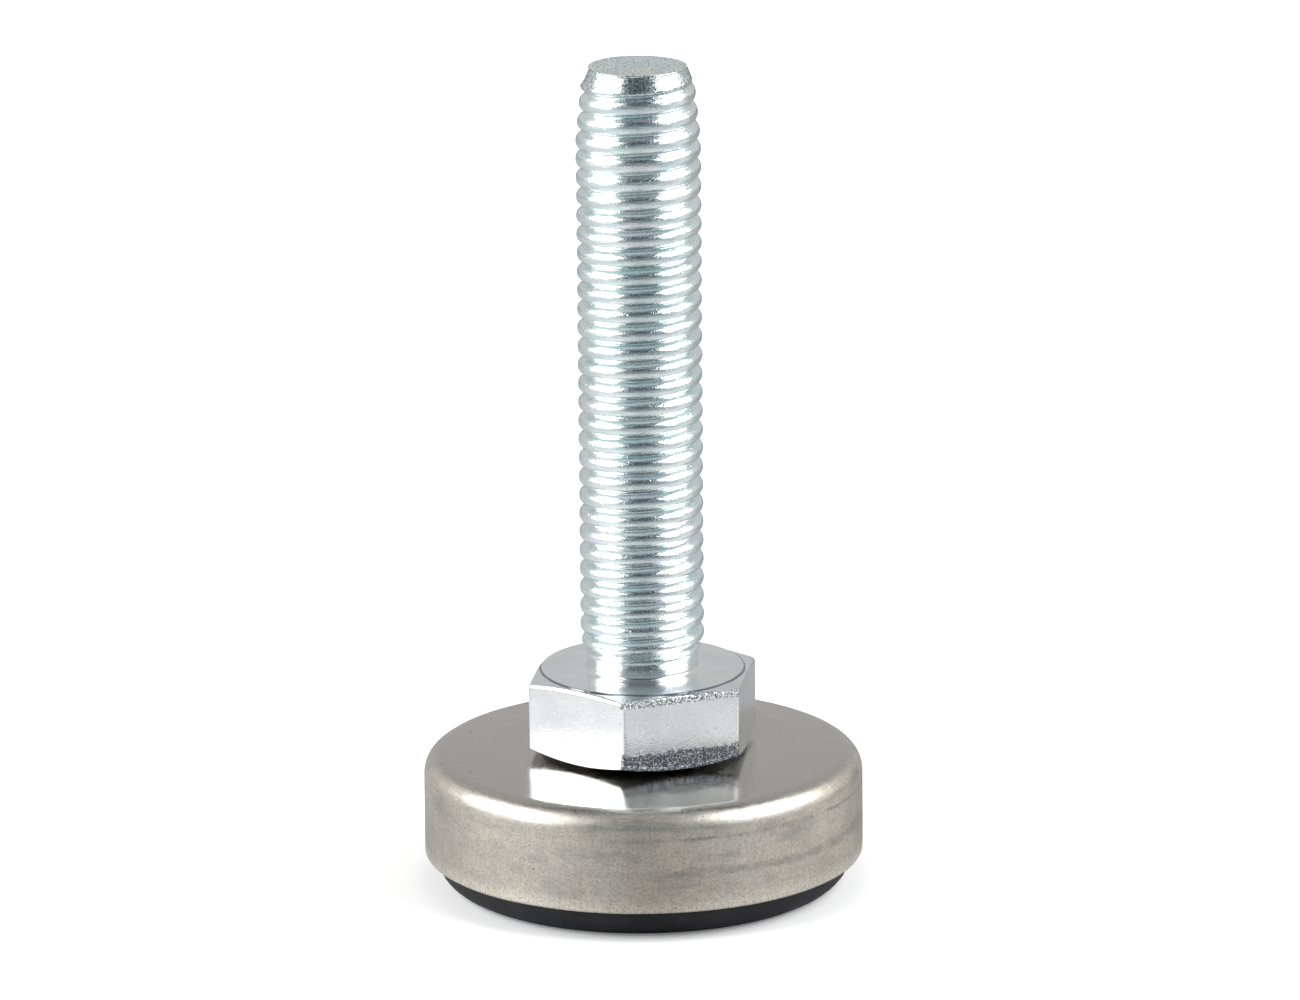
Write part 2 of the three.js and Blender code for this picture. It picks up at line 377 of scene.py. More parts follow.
def upper_edge_rows(angles, radii):
    """The collar's upper edge, from the side faces in to the raised face: a rounded edge, a ledge at
    each corner and the raised face's bevel. The ledge falls away more towards the back left, where the
    corner is worn."""
    raised = np.full(len(radii), HEX_UPPER_FLAT)
    width = radii - raised
    slope = HEX_LEDGE_SLOPE * (1 - 0.35 * np.cos(angles + math.radians(40)))
    worn_corner = HEX_TURN - math.pi / 2 - 2 * math.pi / 3
    wear_depth = 1.1 * MM
    wear_from = 0.86  # cosine of the angle to either side of the corner at which the wear starts
    wear = wear_depth * smooth_share(wear_from, 1, np.cos(angles - worn_corner))
    steps = 12
    rows = []
    for step in range(steps + 1):
        inward = width * (step / steps) ** 2
        outward = width - inward
        depth = smooth_least(outward, HEX_BEVEL + slope * (outward - HEX_BEVEL), 0.05 * MM)
        depth = np.maximum(depth, 0) + wear * smooth_share(0, 1, outward / width)
        from_edge = np.maximum(HEX_EDGE_BEND - inward, 0)
        depth += HEX_EDGE_BEND - np.sqrt(HEX_EDGE_BEND ** 2 - from_edge ** 2)
        rows.append(np.stack([raised + outward, HEX_TOP - depth], axis=1))
    return rows


def thread_profile():
    """(share of a pitch above the crest, radius) round one turn: round crest, flanks, narrow root."""
    crest_steps = 4  # to either side of the crest's middle
    profile = []
    for step in range(-crest_steps, crest_steps + 1):
        angle = FLANK_ANGLE * step / crest_steps
        rise = CREST_BEND * math.sin(angle)
        drop = CREST_BEND * (1 - math.cos(angle))
        profile.append((rise / THREAD_PITCH, THREAD_RADIUS - drop))
    share, radius = profile[-1]
    root_half = ROOT_BEND * math.sin(FLANK_ANGLE) / THREAD_PITCH
    flank = (0.5 - root_half - share) * THREAD_PITCH * math.tan(FLANK_ANGLE)
    root_radius = radius - flank
    lowest = root_radius - ROOT_BEND * (1 - math.cos(FLANK_ANGLE))
    return profile + [(0.5 - root_half, root_radius), (0.5, lowest), (0.5 + root_half, root_radius)]


def smooth_least(first, second, width):
    """The lesser of two lengths, with the change from one to the other rounded over width."""
    mix = np.clip(0.5 + 0.5 * (second - first) / width, 0, 1)
    return second + (first - second) * mix - width * mix * (1 - mix)


def smooth_share(low, high, value):
    """0 to 1 as the value goes from low to high, with a gentle start and end."""
    share = np.clip((value - low) / (high - low), 0, 1)
    return share * share * (3 - 2 * share)


def add_thread(builder, low, high):
    """Adds the thread between two heights and returns the point numbers of its two end rings. Its
    rows climb with the thread, and one step past a row's end comes the row one turn higher."""
    profile = thread_profile()
    per_turn = len(profile)
    first_turn = math.floor(low / THREAD_PITCH) - 2
    last_turn = math.ceil(high / THREAD_PITCH) + 1
    row_count = (last_turn - first_turn) * per_turn
    turns = np.repeat(np.arange(first_turn, last_turn), per_turn)
    along = np.tile([share for share, _ in profile], last_turn - first_turn)
    shape = np.tile([radius for _, radius in profile], last_turn - first_turn)
    angles = even_columns(THREAD_COLUMNS)
    climb = np.arange(THREAD_COLUMNS) / THREAD_COLUMNS
    heights = CREST_AT_X + THREAD_PITCH * ((turns + along)[:, None] + climb)
    below_end = stem_high.z - heights
    shallow = SHALLOW_SHARE * smooth_share(SHALLOW_FROM, SHALLOW_TO, below_end)
    cut = shape[:, None] + (THREAD_RADIUS - shape[:, None]) * shallow
    tapered = cut - (THREAD_RADIUS - np.interp(below_end, TAPER_DEPTHS, TAPER_RADII))
    chamfer = np.interp(below_end, CHAMFER_DEPTHS, CHAMFER_RADII) + CHAMFER_SHIFT * np.cos(angles)
    started = smooth_least(tapered, chamfer, CHAMFER_ROUNDING)
    formed = smooth_share(RUN_OUT_BOTTOM, RUN_OUT_TOP, heights)
    radii = NECK_RADIUS + (started - NECK_RADIUS) * formed
    points = np.stack([radii * np.cos(angles), radii * np.sin(angles), heights], axis=2)

    def number(row, column):
        if column == THREAD_COLUMNS:
            return (row + per_turn) * THREAD_COLUMNS
        return row * THREAD_COLUMNS + column

    faces = []
    for column in range(THREAD_COLUMNS):
        rows = row_count - 1 - (per_turn if column == THREAD_COLUMNS - 1 else 0)
        for row in range(rows):
            faces.append((
                number(row, column), number(row, column + 1),
                number(row + 1, column + 1), number(row + 1, column),
            ))
    mesh = bpy.data.meshes.new("thread_blank")
    mesh.from_pydata(points.reshape(-1, 3).tolist(), [], faces)
    trimmed = bmesh.new()
    trimmed.from_mesh(mesh)
    bpy.data.meshes.remove(mesh)
    for height, side in ((low, -1), (high, 1)):
        bmesh.ops.bisect_plane(
            trimmed, geom=trimmed.verts[:] + trimmed.edges[:] + trimmed.faces[:], dist=SNAP_REACH,
            plane_co=(0, 0, height), plane_no=(0, 0, side), use_snap_center=True, clear_outer=True,
        )
    trimmed.verts.index_update()
    first = builder.add_points([vertex.co[:] for vertex in trimmed.verts])
    builder.faces.extend(tuple(first + vertex.index for vertex in face.verts) for face in trimmed.faces)
    rings = [
        [first + vertex.index for vertex in trimmed.verts if abs(vertex.co.z - height) < 0.001 * MM]
        for height in (low, high)
    ]
    trimmed.free()
    return rings


def build_stem():
    """Rivet head, tenon, collar, neck, thread and chamfered end as one closed surface."""
    builder = Builder()
    angles, radii = hexagon()
    rivet_end, neck_end = builder.add_rows(forged_rows(angles, radii), angles)
    builder.close_with_point(rivet_end, stem_low.z, facing_up=False)

    thread_low, thread_high = add_thread(builder, RUN_OUT_BOTTOM, stem_high.z - STEM_END_EDGE)
    builder.zip_rings(neck_end, thread_low)

    edge_radius = math.hypot(*builder.points[thread_high[0]][:2])
    end_rows = section([
        (edge_radius - 0.01 * MM, stem_high.z - 0.8 * STEM_END_EDGE, 0),
        (edge_radius - 0.03 * MM, stem_high.z - 0.3 * STEM_END_EDGE, 0),
        (edge_radius - 0.12 * MM, stem_high.z, 0),
        (FAN_RADIUS, stem_high.z, 0),
    ], THREAD_COLUMNS, STEM_SPACING)
    rim, middle = builder.add_rows(end_rows, even_columns(THREAD_COLUMNS))
    builder.zip_rings(thread_high, rim)
    builder.close_with_point(middle, stem_high.z, facing_up=True)
    piece = builder.make("stem_forging")
    wobble(piece, amount=0.02 * MM, size=2.6 * MM, seed=1)
    return piece


# ---------------------------------------------------------------------------------------------
# Foot
# ---------------------------------------------------------------------------------------------


def build_cap():
    """The drawn cup: slightly crowned top, round shoulder, plain wall and cut rim."""
    outer = cap_high.x
    inner = outer - CAP_SHEET
    slope = CAP_CROWN / (outer - CAP_BEND - CAP_FLAT_RADIUS)
    crown_bend = 40 * MM
    piece = turned_piece("cap_shell", [
        (STEM_HOLE_RADIUS, cap_high.z - CAP_SHEET, 0.1 * MM),
        (CAP_FLAT_RADIUS, cap_high.z - CAP_SHEET, crown_bend),
        (inner, cap_high.z - CAP_SHEET - slope * (inner - CAP_FLAT_RADIUS), CAP_BEND - CAP_SHEET),
        (inner, cap_low.z, 0.1 * MM),
        (outer, cap_low.z, 0.22 * MM),
        (outer, cap_high.z - slope * (outer - CAP_FLAT_RADIUS), CAP_BEND),
        (CAP_FLAT_RADIUS, cap_high.z, crown_bend),
        (STEM_HOLE_RADIUS, cap_high.z, 0.15 * MM),
    ], 240, 0.5 * MM, closed=True, steps=10)
    wobble(piece, amount=0.02 * MM, size=5 * MM, seed=2)
    return piece


def build_pad():
    """The pad: round lower edge, two grip grooves, a plug inside the cap and pockets for the plate and
    the rivet head."""
    groove_depth = 0.5 * MM
    groove_half = 0.6 * MM
    groove_floor_half = 0.4 * MM
    flange_top = cap_low.z - 0.02 * MM
    plug_radius = cap_high.x - CAP_SHEET - 0.3 * MM
    plate_room = plate_high.x + 0.3 * MM
    plate_seat = plate_low.z - 0.3 * MM
    pocket_radius = 8.2 * MM
    pocket_floor = 2.9 * MM
    corners = [(FAN_RADIUS, 0, 0)]
    for groove in (9.4 * MM, 12.2 * MM):
        corners += [
            (groove - groove_half, 0, 0.1 * MM),
            (groove - groove_floor_half, groove_depth, 0.1 * MM),
            (groove + groove_floor_half, groove_depth, 0.1 * MM),
            (groove + groove_half, 0, 0.1 * MM),
        ]
    corners += [
        (PAD_RADIUS, 0, PAD_EDGE),
        (PAD_RADIUS, flange_top, 0.08 * MM),
        (plug_radius, flange_top, 0.05 * MM),
        (plug_radius, pad_high.z, 0.15 * MM),
        (plate_room, pad_high.z, 0.15 * MM),
        (plate_room, plate_seat, 0.1 * MM),
        (pocket_radius, plate_seat, 0.15 * MM),
        (pocket_radius, pocket_floor, 0.2 * MM),
        (FAN_RADIUS, pocket_floor, 0),
    ]
    return turned_piece("pad_moulding", corners, 180, 0.6 * MM, steps=8)


def build_ring(name, inner, low, high, bend):
    """A flat ring with rounded edges that fills a node's box."""
    return turned_piece(name, [
        (inner, low.z, bend),
        (high.x, low.z, bend),
        (high.x, high.z, bend),
        (inner, high.z, bend),
    ], 120, 0.5 * MM, closed=True)


# ---------------------------------------------------------------------------------------------
# Materials
# ---------------------------------------------------------------------------------------------


class Finish:
    """One material, with short names for the nodes that the finishes share. Lengths are in mm."""

    def __init__(self, name, metallic=0.0):
        self.material = bpy.data.materials.new(name)
        self.material.use_nodes = True
        self.nodes = self.material.node_tree.nodes
        self.links = self.material.node_tree.links
        self.shader = self.nodes["Principled BSDF"]
        self.shader.inputs["Metallic"].default_value = metallic
        place = self.nodes.new("ShaderNodeTexCoord")
        scale = self.nodes.new("ShaderNodeVectorMath")
        scale.operation = "SCALE"
        scale.inputs["Scale"].default_value = 1 / MM
        self.links.new(place.outputs["Object"], scale.inputs[0])
        self.place = scale.outputs[0]

    def feed(self, value, socket):
        """Gives a socket a fixed value or another socket's output."""
        if isinstance(value, bpy.types.NodeSocket):
            self.links.new(value, socket)
        else:
            socket.default_value = value

    def noise(self, size, detail=2.0, rough=0.5, stretch=(1, 1, 1), twist=0.0, turn=0.0):
        """Noise from 0 to 1, with features of about size, longer along an axis where stretch is more.
        Turn is about the stem's axis."""
        mapping = self.nodes.new("ShaderNodeMapping")
        mapping.inputs["Scale"].default_value = [1 / (size * s) for s in stretch]
        mapping.inputs["Rotation"].default_value = (0, 0, turn)
        self.links.new(self.place, mapping.inputs["Vector"])
        texture = self.nodes.new("ShaderNodeTexNoise")
        texture.inputs["Scale"].default_value = 1
        texture.inputs["Detail"].default_value = detail
        texture.inputs["Roughness"].default_value = rough
        texture.inputs["Distortion"].default_value = twist
        self.links.new(mapping.outputs[0], texture.inputs["Vector"])
        return texture.outputs["Fac"]

    def spots(self, spacing, radius, share):
        """Round spots of 1 on 0, in a share of the cells that are about spacing apart."""
        texture = self.nodes.new("ShaderNodeTexVoronoi")
        texture.inputs["Scale"].default_value = 1 / spacing
        self.links.new(self.place, texture.inputs["Vector"])
        near = self.spread(texture.outputs["Distance"], radius / spacing, 0.4 * radius / spacing)
        parts = self.nodes.new("ShaderNodeSeparateColor")
        self.links.new(texture.outputs["Color"], parts.inputs[0])
        return self.math("MULTIPLY", near, self.math("LESS_THAN", parts.outputs[0], share))

    def spread(self, value, low, high, to_low=0.0, to_high=1.0):
        """Maps low..high onto to_low..to_high, smoothly and within those limits."""
        node = self.nodes.new("ShaderNodeMapRange")
        node.interpolation_type = "SMOOTHSTEP"
        self.feed(value, node.inputs["Value"])
        node.inputs["From Min"].default_value = low
        node.inputs["From Max"].default_value = high
        node.inputs["To Min"].default_value = to_low
        node.inputs["To Max"].default_value = to_high
        return node.outputs["Result"]

    def math(self, operation, first, second=0.0):
        """One arithmetic step on numbers or sockets."""
        node = self.nodes.new("ShaderNodeMath")
        node.operation = operation
        self.feed(first, node.inputs[0])
        self.feed(second, node.inputs[1])
        return node.outputs[0]

    def length(self, first, second):
        """The length of a vector from its two parts."""
        first_square = self.math("MULTIPLY", first, first)
        second_square = self.math("MULTIPLY", second, second)
        return self.math("SQRT", self.math("ADD", first_square, second_square))

    def mix(self, share, first, second):
        """A colour between two others."""
        node = self.nodes.new("ShaderNodeMix")
        node.data_type = "RGBA"
        self.feed(share, node.inputs["Factor"])
        self.feed(first, node.inputs["A"])
        self.feed(second, node.inputs["B"])
        return node.outputs["Result"]

    def split(self):
        """The place's X, Y and Z."""
        node = self.nodes.new("ShaderNodeSeparateXYZ")
        self.links.new(self.place, node.inputs[0])
        return node.outputs

    def across(self, angle):
        """How far out the place is in a direction at an angle from +X."""
        x, y, _ = self.split()
        along_x = self.math("MULTIPLY", x, math.cos(angle))
        along_y = self.math("MULTIPLY", y, math.sin(angle))
        return self.math("ADD", along_x, along_y)

    def bump(self, height, depth, after=None):
        """Raises the surface by height times depth, in mm, on top of an earlier bump."""
        node = self.nodes.new("ShaderNodeBump")
        node.inputs["Strength"].default_value = 1
        node.inputs["Distance"].default_value = depth * MM
        self.feed(height, node.inputs["Height"])
        if after is not None:
            self.links.new(after, node.inputs["Normal"])
        return node.outputs["Normal"]

    def set(self, **sockets):
        """Feeds the shader and returns the finished material."""
        names = {"color": "Base Color", "roughness": "Roughness", "normal": "Normal"}
        for key, value in sockets.items():
            self.feed(value, self.shader.inputs[names[key]])
        return self.material


def zinc_plating():
    """Bright bluish-white zinc: glossy and finely speckled, duller on the stem's end, and torn along
    the sheared edges of the collar's front right face, whose lower part is broken and carries painted
    dark flecks as a painted dark reflection. A dark line of painted dark reflection follows the edge of
    the collar's raised face."""
    finish = Finish("zinc_plating", metallic=1.0)
    x, y, z = finish.split()
    radius = finish.length(x, y)
    stem_end = stem_high.z / MM
    collar_top = HEX_TOP / MM
    cloud = finish.spread(finish.noise(3.0, detail=3), 0.35, 0.65)
    tint = finish.spread(finish.noise(5.0, detail=1), 0.5, 0.7, 0.0, 0.5)
    speck = finish.noise(0.13, detail=2, rough=0.65)
    dent = finish.spots(0.55, 0.13, 0.35)

    end_face = finish.spread(z, stem_end - 0.12, stem_end - 0.02)
    threaded = finish.spread(z, collar_top + 0.8, collar_top + 1.6)

    facing = finish.across(HEX_TURN - math.pi / 3)
    face_at = HEX_FACE_RADIUS / MM
    right_face = finish.spread(facing, face_at - 0.4, face_at - 0.2)
    below_top = finish.math("SUBTRACT", collar_top, z)
    outside_flat = finish.math("SUBTRACT", radius, HEX_LOWER_FLAT / MM)
    rise = finish.math("MULTIPLY", outside_flat, HEX_LOWER_SLOPE)
    above_chamfer = finish.math("SUBTRACT", finish.math("SUBTRACT", z, HEX_BOTTOM / MM), rise)
    torn_top = finish.math(
        "MULTIPLY", finish.spread(below_top, 0.9, 0.65), finish.spread(below_top, 0.25, 0.4),
    )
    torn = finish.math("MAXIMUM", torn_top, finish.spread(above_chamfer, 0.4, 0.15, 0, 0.8))
    torn = finish.math("MULTIPLY", torn, right_face)
    chips = finish.spread(finish.noise(0.22, detail=3, rough=0.75), 0.42, 0.6)
    gouges = finish.spread(finish.noise(0.16, detail=2, rough=0.6), 0.5, 0.58)
    ripple = finish.spread(finish.noise(0.5, detail=3, rough=0.7), 0.3, 0.7, -0.2, 0.2)
    break_height = 12.9  # the face is smooth above this and broken below, where painted dark flecks stand for a painted dark reflection
    below_break = finish.math("SUBTRACT", finish.math("ADD", ripple, break_height), z)
    broken = finish.math("MULTIPLY", finish.spread(below_break, 0.0, 0.2), right_face)
    painted_dark_flecks = finish.spread(finish.noise(0.14, detail=3, rough=0.7), 0.44, 0.64, 1.0, 0.3)
    marks = finish.math("MULTIPLY", finish.noise(0.15, detail=2, stretch=(8, 8, 1)), threaded)

    forged = finish.mix(cloud, (0.79, 0.81, 0.815, 1), (0.865, 0.875, 0.875, 1))
    rolled = finish.mix(cloud, (0.745, 0.855, 0.87, 1), (0.85, 0.925, 0.935, 1))
    color = finish.mix(finish.spread(z, collar_top + 0.1, collar_top + 1.2), forged, rolled)
    color = finish.mix(tint, color, (0.83, 0.85, 0.91, 1))
    sheared = finish.spread(finish.noise(1.3, detail=4, rough=0.7), 0.35, 0.65)
    yellowed = finish.mix(finish.spread(y, 2.0, -4.0), (0.88, 0.95, 0.95, 1), (0.95, 0.965, 0.85, 1))
    color = finish.mix(end_face, color, finish.mix(sheared, yellowed, (0.76, 0.84, 0.83, 1)))
    color = finish.mix(finish.spread(speck, 0.58, 0.72, 0.0, 0.5), color, (0.46, 0.52, 0.56, 1))
    start = finish.spread(z, stem_end - 2.0, stem_end - 1.2, 0.0, 0.8)
    gouged = finish.math("MULTIPLY", finish.math("MAXIMUM", torn, start), gouges)
    color = finish.mix(gouged, color, (0.16, 0.18, 0.23, 1))
    # Painted dark reflection: dark flecks on the lower, broken part of the front right face.
    color = finish.mix(finish.math("MULTIPLY", broken, painted_dark_flecks), color, (0.10, 0.115, 0.15, 1))
    bevel_at = (HEX_UPPER_FLAT + HEX_BEVEL / 2) / MM
    from_bevel = finish.math("ABSOLUTE", finish.math("SUBTRACT", radius, bevel_at))
    # Painted dark reflection: a dark bluish line along the bevel of the raised face.
    bevel = finish.math(
        "MULTIPLY", finish.spread(from_bevel, 0.11, 0.05, 0.0, 0.8), finish.spread(below_top, 0.3, 0.2),
    )
    color = finish.mix(bevel, color, (0.14, 0.15, 0.22, 1))
    grit = finish.spread(speck, 0.35, 0.7, 0.11, 0.25)
    dull_edges = finish.math("MULTIPLY", torn, 0.12)
    dull_end = finish.math("MULTIPLY", end_face, 0.22)
    dull_thread = finish.math("MULTIPLY", threaded, 0.05)
    dull = finish.math("ADD", finish.math("MAXIMUM", dull_edges, dull_end), dull_thread)
    roughness = finish.math("ADD", grit, dull)
    normal = finish.bump(speck, 0.014)
    normal = finish.bump(finish.noise(0.6, detail=2), 0.01, after=normal)
    normal = finish.bump(dent, 0.012, after=normal)
    normal = finish.bump(marks, 0.03, after=normal)
    normal = finish.bump(finish.math("MULTIPLY", chips, torn), 0.16, after=normal)
    normal = finish.bump(finish.math("MULTIPLY", gouges, broken), 0.02, after=normal)
    return finish.set(color=color, roughness=roughness, normal=normal)


def stainless_steel():
    """Drawn stainless sheet: a fairly clear top, and a wall dulled by the die, with drawing marks,
    warm stains, two score-mark bands painted dark as painted shade in their creases (stronger on
    the right), pits and a few faint scratches."""
    finish = Finish("stainless_steel", metallic=1.0)
    x, _, z = finish.split()
    top = cap_high.z / MM
    rim = cap_low.z / MM
    wall = finish.spread(z, top - 0.3, top - 0.75)
    grain = finish.noise(0.17, detail=3, rough=0.75)
    patch = finish.spread(finish.noise(1.6, detail=5, rough=0.72), 0.36, 0.64)
    blotch = finish.math("ADD", finish.math("MULTIPLY", finish.math("MULTIPLY", patch, wall), 0.8), 0.2)
    warm = finish.spread(finish.noise(5.0, detail=2), 0.38, 0.62, 0.4, 1.0)
    drawn = finish.noise(0.2, detail=3, rough=0.6, stretch=(1, 1, 12))
    rubbed = finish.noise(0.25, detail=3, rough=0.6, stretch=(7, 7, 1), twist=1.2)
    wander = finish.noise(3.5, detail=2)
    pits = finish.spots(2.3, 0.13, 0.3)
    scratch = finish.spread(finish.noise(0.07, detail=1, stretch=(18, 1, 18), turn=0.5), 0.69, 0.76)

    def band(height, half_width, wave):
        """A line round the wall at about a height, broken up by the patches."""
        middle = finish.math("ADD", height - wave / 2, finish.math("MULTIPLY", wander, wave))
        away = finish.math("ABSOLUTE", finish.math("SUBTRACT", z, middle))
        return finish.math("MULTIPLY", finish.spread(away, half_width, 0.2 * half_width), patch)

    # Painted shade: the dark score-mark bands are stronger on the right.
    right_side = finish.spread(x, -6, 8, 0.25, 1.0)
    upper_band = band(height=8.4, half_width=0.24, wave=0.5)
    lower_band = finish.math("MULTIPLY", band(height=5.6, half_width=0.5, wave=1.1), 0.7)
    score_marks_and_crease_shade = finish.math("MAXIMUM", upper_band, lower_band)
    score_marks_and_crease_shade = finish.math("MULTIPLY", score_marks_and_crease_shade, right_side)

    color = finish.mix(blotch, (0.475, 0.46, 0.425, 1), (0.645, 0.625, 0.575, 1))
    color = finish.mix(finish.math("MULTIPLY", warm, wall), color, (0.655, 0.60, 0.515, 1))
    stain = finish.noise(2.2, detail=5, rough=0.72, stretch=(2.6, 2.6, 0.8))
    stain = finish.spread(stain, 0.44, 0.72, 0, 0.75)
    color = finish.mix(finish.math("MULTIPLY", stain, wall), color, (0.34, 0.33, 0.31, 1))
    near_rim = finish.spread(z, rim + 1.6, rim + 0.2)
    color = finish.mix(finish.math("MULTIPLY", near_rim, 0.85), color, (0.88, 0.83, 0.72, 1))
    streaks = finish.math("MULTIPLY", finish.spread(drawn, 0.5, 0.72, 0, 0.3), wall)
    color = finish.mix(streaks, color, (0.37, 0.35, 0.33, 1))
    grit = finish.spread(grain, 0.42, 0.70, 0.0, 0.75)
    grit = finish.math("MULTIPLY", grit, finish.math("ADD", finish.math("MULTIPLY", wall, 0.6), 0.4))
    color = finish.mix(grit, color, (0.31, 0.30, 0.28, 1))
    # Score marks darkened with painted shade in their creases.
    color = finish.mix(finish.math("MULTIPLY", score_marks_and_crease_shade, 0.75), color, (0.22, 0.205, 0.19, 1))
    color = finish.mix(pits, color, (0.07, 0.065, 0.06, 1))
    dull = finish.math("MULTIPLY", wall, 0.22)
    dull = finish.math("ADD", dull, finish.spread(rubbed, 0.4, 0.7, 0.0, 0.08))
    roughness = finish.math("ADD", finish.spread(grain, 0.3, 0.7, 0.10, 0.20), dull)
    normal = finish.bump(grain, 0.008)
    normal = finish.bump(finish.math("MULTIPLY", drawn, wall), 0.01, after=normal)
    normal = finish.bump(finish.math("MULTIPLY", rubbed, wall), 0.01, after=normal)
    sunk = finish.math("ADD", finish.math("MULTIPLY", scratch, 0.15), pits)
    normal = finish.bump(sunk, -0.02, after=normal)
    return finish.set(color=color, roughness=roughness, normal=normal)


def plain_steel():
    """Stamped steel, dull, with a rolled grain and a few rubbed spots."""
    finish = Finish("plain_steel", metallic=1.0)
    rolled = finish.noise(0.3, detail=3, stretch=(12, 1, 1))
    worn = finish.spread(finish.noise(2.0, detail=3), 0.45, 0.65)
    color = finish.mix(worn, (0.42, 0.43, 0.44, 1), (0.58, 0.58, 0.58, 1))
    roughness = finish.spread(rolled, 0.3, 0.7, 0.32, 0.5)
    return finish.set(color=color, roughness=roughness, normal=finish.bump(rolled, 0.01))


def nylon():
    """Natural nylon, slightly yellowed, with a fine moulded grain."""
    finish = Finish("nylon")
    grain = finish.noise(0.15, detail=3)
    cloud = finish.noise(2.5, detail=2)
    color = finish.mix(finish.spread(cloud, 0.35, 0.65), (0.80, 0.77, 0.68, 1), (0.86, 0.84, 0.77, 1))
    roughness = finish.spread(grain, 0.3, 0.7, 0.4, 0.6)
    finish.shader.inputs["Subsurface Weight"].default_value = 0.2
    finish.shader.inputs["Subsurface Radius"].default_value = (0.002, 0.0015, 0.001)
    return finish.set(color=color, roughness=roughness, normal=finish.bump(grain, 0.01))


def black_rubber():
    """Moulded rubber, near black, with a faint violet bloom and a fine grain."""
    finish = Finish("black_rubber")
    grain = finish.noise(0.11, detail=3, rough=0.6)
    bloom = finish.spread(finish.noise(3.0, detail=3), 0.4, 0.7)
    color = finish.mix(bloom, (0.010, 0.010, 0.013, 1), (0.020, 0.019, 0.026, 1))
    roughness = finish.spread(grain, 0.3, 0.7, 0.5, 0.72)
    return finish.set(color=color, roughness=roughness, normal=finish.bump(grain, 0.012))


# ---------------------------------------------------------------------------------------------
# Assembly
# ---------------------------------------------------------------------------------------------


def fit(piece, node, body, material):
    """Puts a visible piece in place of a CAD node, on the body that carries it."""
    piece.data.materials.append(material)
    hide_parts(node)
    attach(piece, body)


steel = plain_steel()
fit(build_stem(), "threaded_stem", "stem", zinc_plating())
fit(build_cap(), "cover_cap", "foot", stainless_steel())
fit(build_pad(), "foot_pad", "foot", black_rubber())
fit(
    build_ring("load_plate", STEM_HOLE_RADIUS, plate_low, plate_high, 0.15 * MM),
    "reinforcing_plate", "foot", steel,
)
fit(
    build_ring("nylon_ring", TENON_RADIUS + 0.4 * MM, nylon_low, nylon_high, 0.12 * MM),
    "friction_washer", "nylon_washer_body", nylon(),
)
fit(
    build_ring("steel_ring", TENON_RADIUS + 0.3 * MM, steel_low, steel_high, 0.12 * MM),
    "rivet_washer", "steel_washer_body", steel,
)

# ---------------------------------------------------------------------------------------------
# Floor and light
# ---------------------------------------------------------------------------------------------


def add_floor():
    """White where it is seen directly. Reflections show it as pale grey with painted light and shade:
    painted light to the left and right of the foot, above all towards the front, a painted bright
    streak straight to the right, and a painted shadow near the foot. The painted light fades out
    further away."""
    half = 3.0  # metres
    mesh = bpy.data.meshes.new("floor")
    corners = [(-half, -half, 0), (half, -half, 0), (half, half, 0), (-half, half, 0)]
    mesh.from_pydata(corners, [], [(0, 1, 2, 3)])
    floor = bpy.data.objects.new("floor", mesh)
    bpy.context.scene.collection.objects.link(floor)
    finish = Finish("pale_floor")
    x, y, _ = finish.split()
    distance = finish.math("ADD", finish.length(x, y), 1.0)
    rightward = finish.math("DIVIDE", x, distance)
    forward = finish.math("DIVIDE", y, finish.math("MULTIPLY", distance, -1))
    sideways = finish.math("ABSOLUTE", rightward)
    far_from, far_to = 59, 85  # mm from the foot's axis

    # Painted light to the left and right of the foot, stronger towards the front.
    painted_side_light = finish.math("ADD", finish.math("MULTIPLY", forward, 0.34), 0.31)
    painted_side_light = finish.math("MULTIPLY", painted_side_light, sideways)
    painted_side_light = finish.math("MULTIPLY", painted_side_light, finish.spread(distance, far_from, far_to, 1.0, 0.35))
    tone = finish.math("ADD", painted_side_light, finish.math("MULTIPLY", rightward, -0.10))
    tone = finish.math("ADD", tone, 0.40)
    # A painted bright streak straight to the right.
    tone = finish.math("ADD", tone, finish.spread(rightward, 0.9, 0.99, 0, 0.25))
    # Painted shadow of the foot: darker close to the foot, up to about 80 mm from its axis.
    tone = finish.math("MULTIPLY", tone, finish.spread(distance, 30, 80, 0.80, 0.98))
    shade = finish.math("MULTIPLY", finish.spread(distance, far_from, far_to, 0.0, 0.14), sideways)
    tone = finish.math("MULTIPLY", tone, finish.math("SUBTRACT", 1.0, shade))

    seen = finish.nodes.new("ShaderNodeLightPath").outputs["Is Camera Ray"]
    tones = finish.nodes.new("ShaderNodeCombineColor")
    for channel in tones.inputs[:3]:
        finish.feed(tone, channel)
    finish.shader.inputs["Specular IOR Level"].default_value = 0.1
    finish.shader.inputs["Emission Color"].default_value = (1, 1, 1, 1)
    glow = finish.math("MULTIPLY", seen, finish.spread(distance, 60, 400, 0.15, 1.0))
    finish.feed(glow, finish.shader.inputs["Emission Strength"])
    mesh.materials.append(finish.set(
        color=finish.mix(seen, tones.outputs[0], (0.97, 0.97, 0.97, 1)), roughness=0.9,
    ))


# Both softboxes, in metres.
SOFTBOX_WIDTH = 0.74
SOFTBOX_HEIGHT = 0.64
SOFTBOX_DISTANCE = 0.85


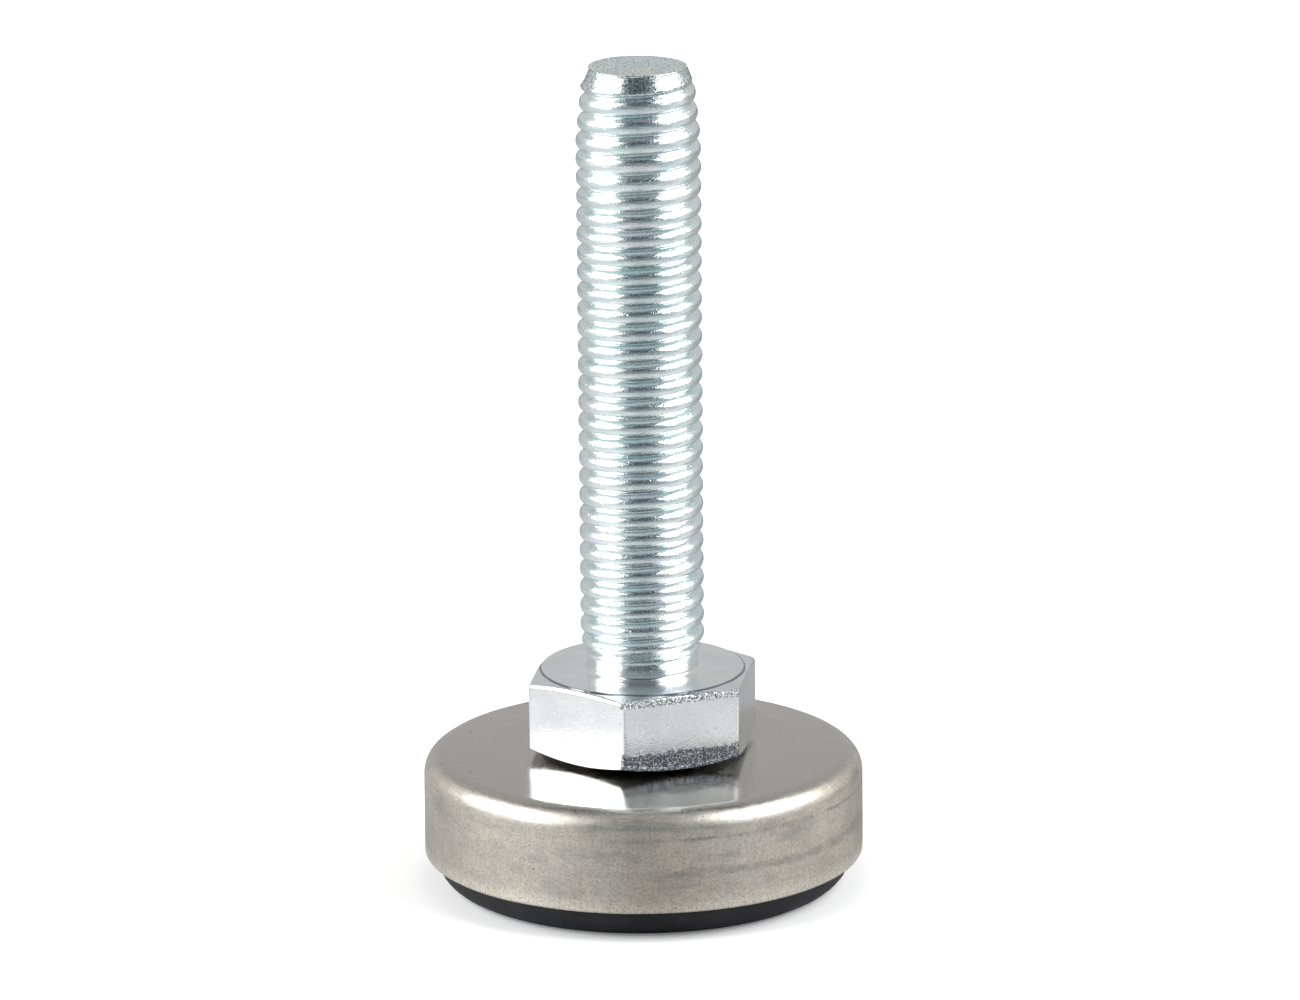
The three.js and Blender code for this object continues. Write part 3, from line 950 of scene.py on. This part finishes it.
def add_softbox(name, azimuth, elevation, brightness):
    """A rectangular light that faces the foot. Azimuth is from -Y towards +X, in degrees."""
    data = bpy.data.lights.new(name, "AREA")
    data.shape = "RECTANGLE"
    data.size = SOFTBOX_WIDTH
    data.size_y = SOFTBOX_HEIGHT
    data.energy = brightness * math.pi * SOFTBOX_WIDTH * SOFTBOX_HEIGHT
    light = bpy.data.objects.new(name, data)
    turn = math.radians(azimuth)
    rise = math.radians(elevation)
    direction = Vector((
        math.sin(turn) * math.cos(rise),
        -math.cos(turn) * math.cos(rise),
        math.sin(rise),
    ))
    target = Vector((0, 0, 0.03))
    light.location = target + direction * SOFTBOX_DISTANCE
    light.rotation_euler = direction.to_track_quat("Z", "Y").to_euler()
    light.visible_camera = False
    bpy.context.scene.collection.objects.link(light)


def add_world():
    """Even pale surroundings, dark on the side of the camera and overhead, and grey straight above.
    They are white where they are seen directly, like the floor."""
    world = bpy.data.worlds.new("studio")
    world.use_nodes = True
    bpy.context.scene.world = world
    nodes = world.node_tree.nodes
    links = world.node_tree.links
    place = nodes.new("ShaderNodeTexCoord")
    split = nodes.new("ShaderNodeSeparateXYZ")
    links.new(place.outputs["Generated"], split.inputs[0])

    def feed(value, socket):
        if isinstance(value, bpy.types.NodeSocket):
            links.new(value, socket)
        else:
            socket.default_value = value

    def math_node(operation, *values):
        node = nodes.new("ShaderNodeMath")
        node.operation = operation
        for socket, value in zip(node.inputs, values):
            feed(value, socket)
        return node.outputs[0]

    def ramp(value, low, high):
        """0 to 1 between two angles in degrees."""
        node = nodes.new("ShaderNodeMapRange")
        node.interpolation_type = "SMOOTHSTEP"
        links.new(value, node.inputs["Value"])
        node.inputs["From Min"].default_value = math.radians(low)
        node.inputs["From Max"].default_value = math.radians(high)
        return node.outputs["Result"]

    def mix_node(share, first, second):
        node = nodes.new("ShaderNodeMix")
        node.data_type = "RGBA"
        links.new(share, node.inputs["Factor"])
        for value, socket in ((first, node.inputs["A"]), (second, node.inputs["B"])):
            feed(value, socket)
        return node.outputs["Result"]

    x, y, z = split.outputs
    azimuth = math_node("ARCTAN2", x, math_node("MULTIPLY", y, -1))
    elevation = math_node("ARCSINE", z)
    in_front = math_node("MULTIPLY", ramp(azimuth, -44, -36), ramp(azimuth, 52, 44))
    dark = math_node("MAXIMUM", in_front, ramp(elevation, 54, 66))
    unlit = mix_node(ramp(elevation, 18, 36), (0.25, 0.30, 0.32, 1), (0.062, 0.075, 0.09, 1))
    unlit = mix_node(ramp(elevation, 66, 78), unlit, (0.42, 0.44, 0.46, 1))
    tone = mix_node(dark, (0.58, 0.585, 0.585, 1), unlit)
    seen = nodes.new("ShaderNodeLightPath").outputs["Is Camera Ray"]
    tone = mix_node(seen, tone, (1, 1, 1, 1))
    links.new(tone, nodes["Background"].inputs["Color"])


add_floor()
add_softbox("softbox_left", azimuth=-80, elevation=30, brightness=5.2)
add_softbox("softbox_right", azimuth=77, elevation=39, brightness=5.0)
add_world()
bpy.context.scene.view_settings.view_transform = "Standard"
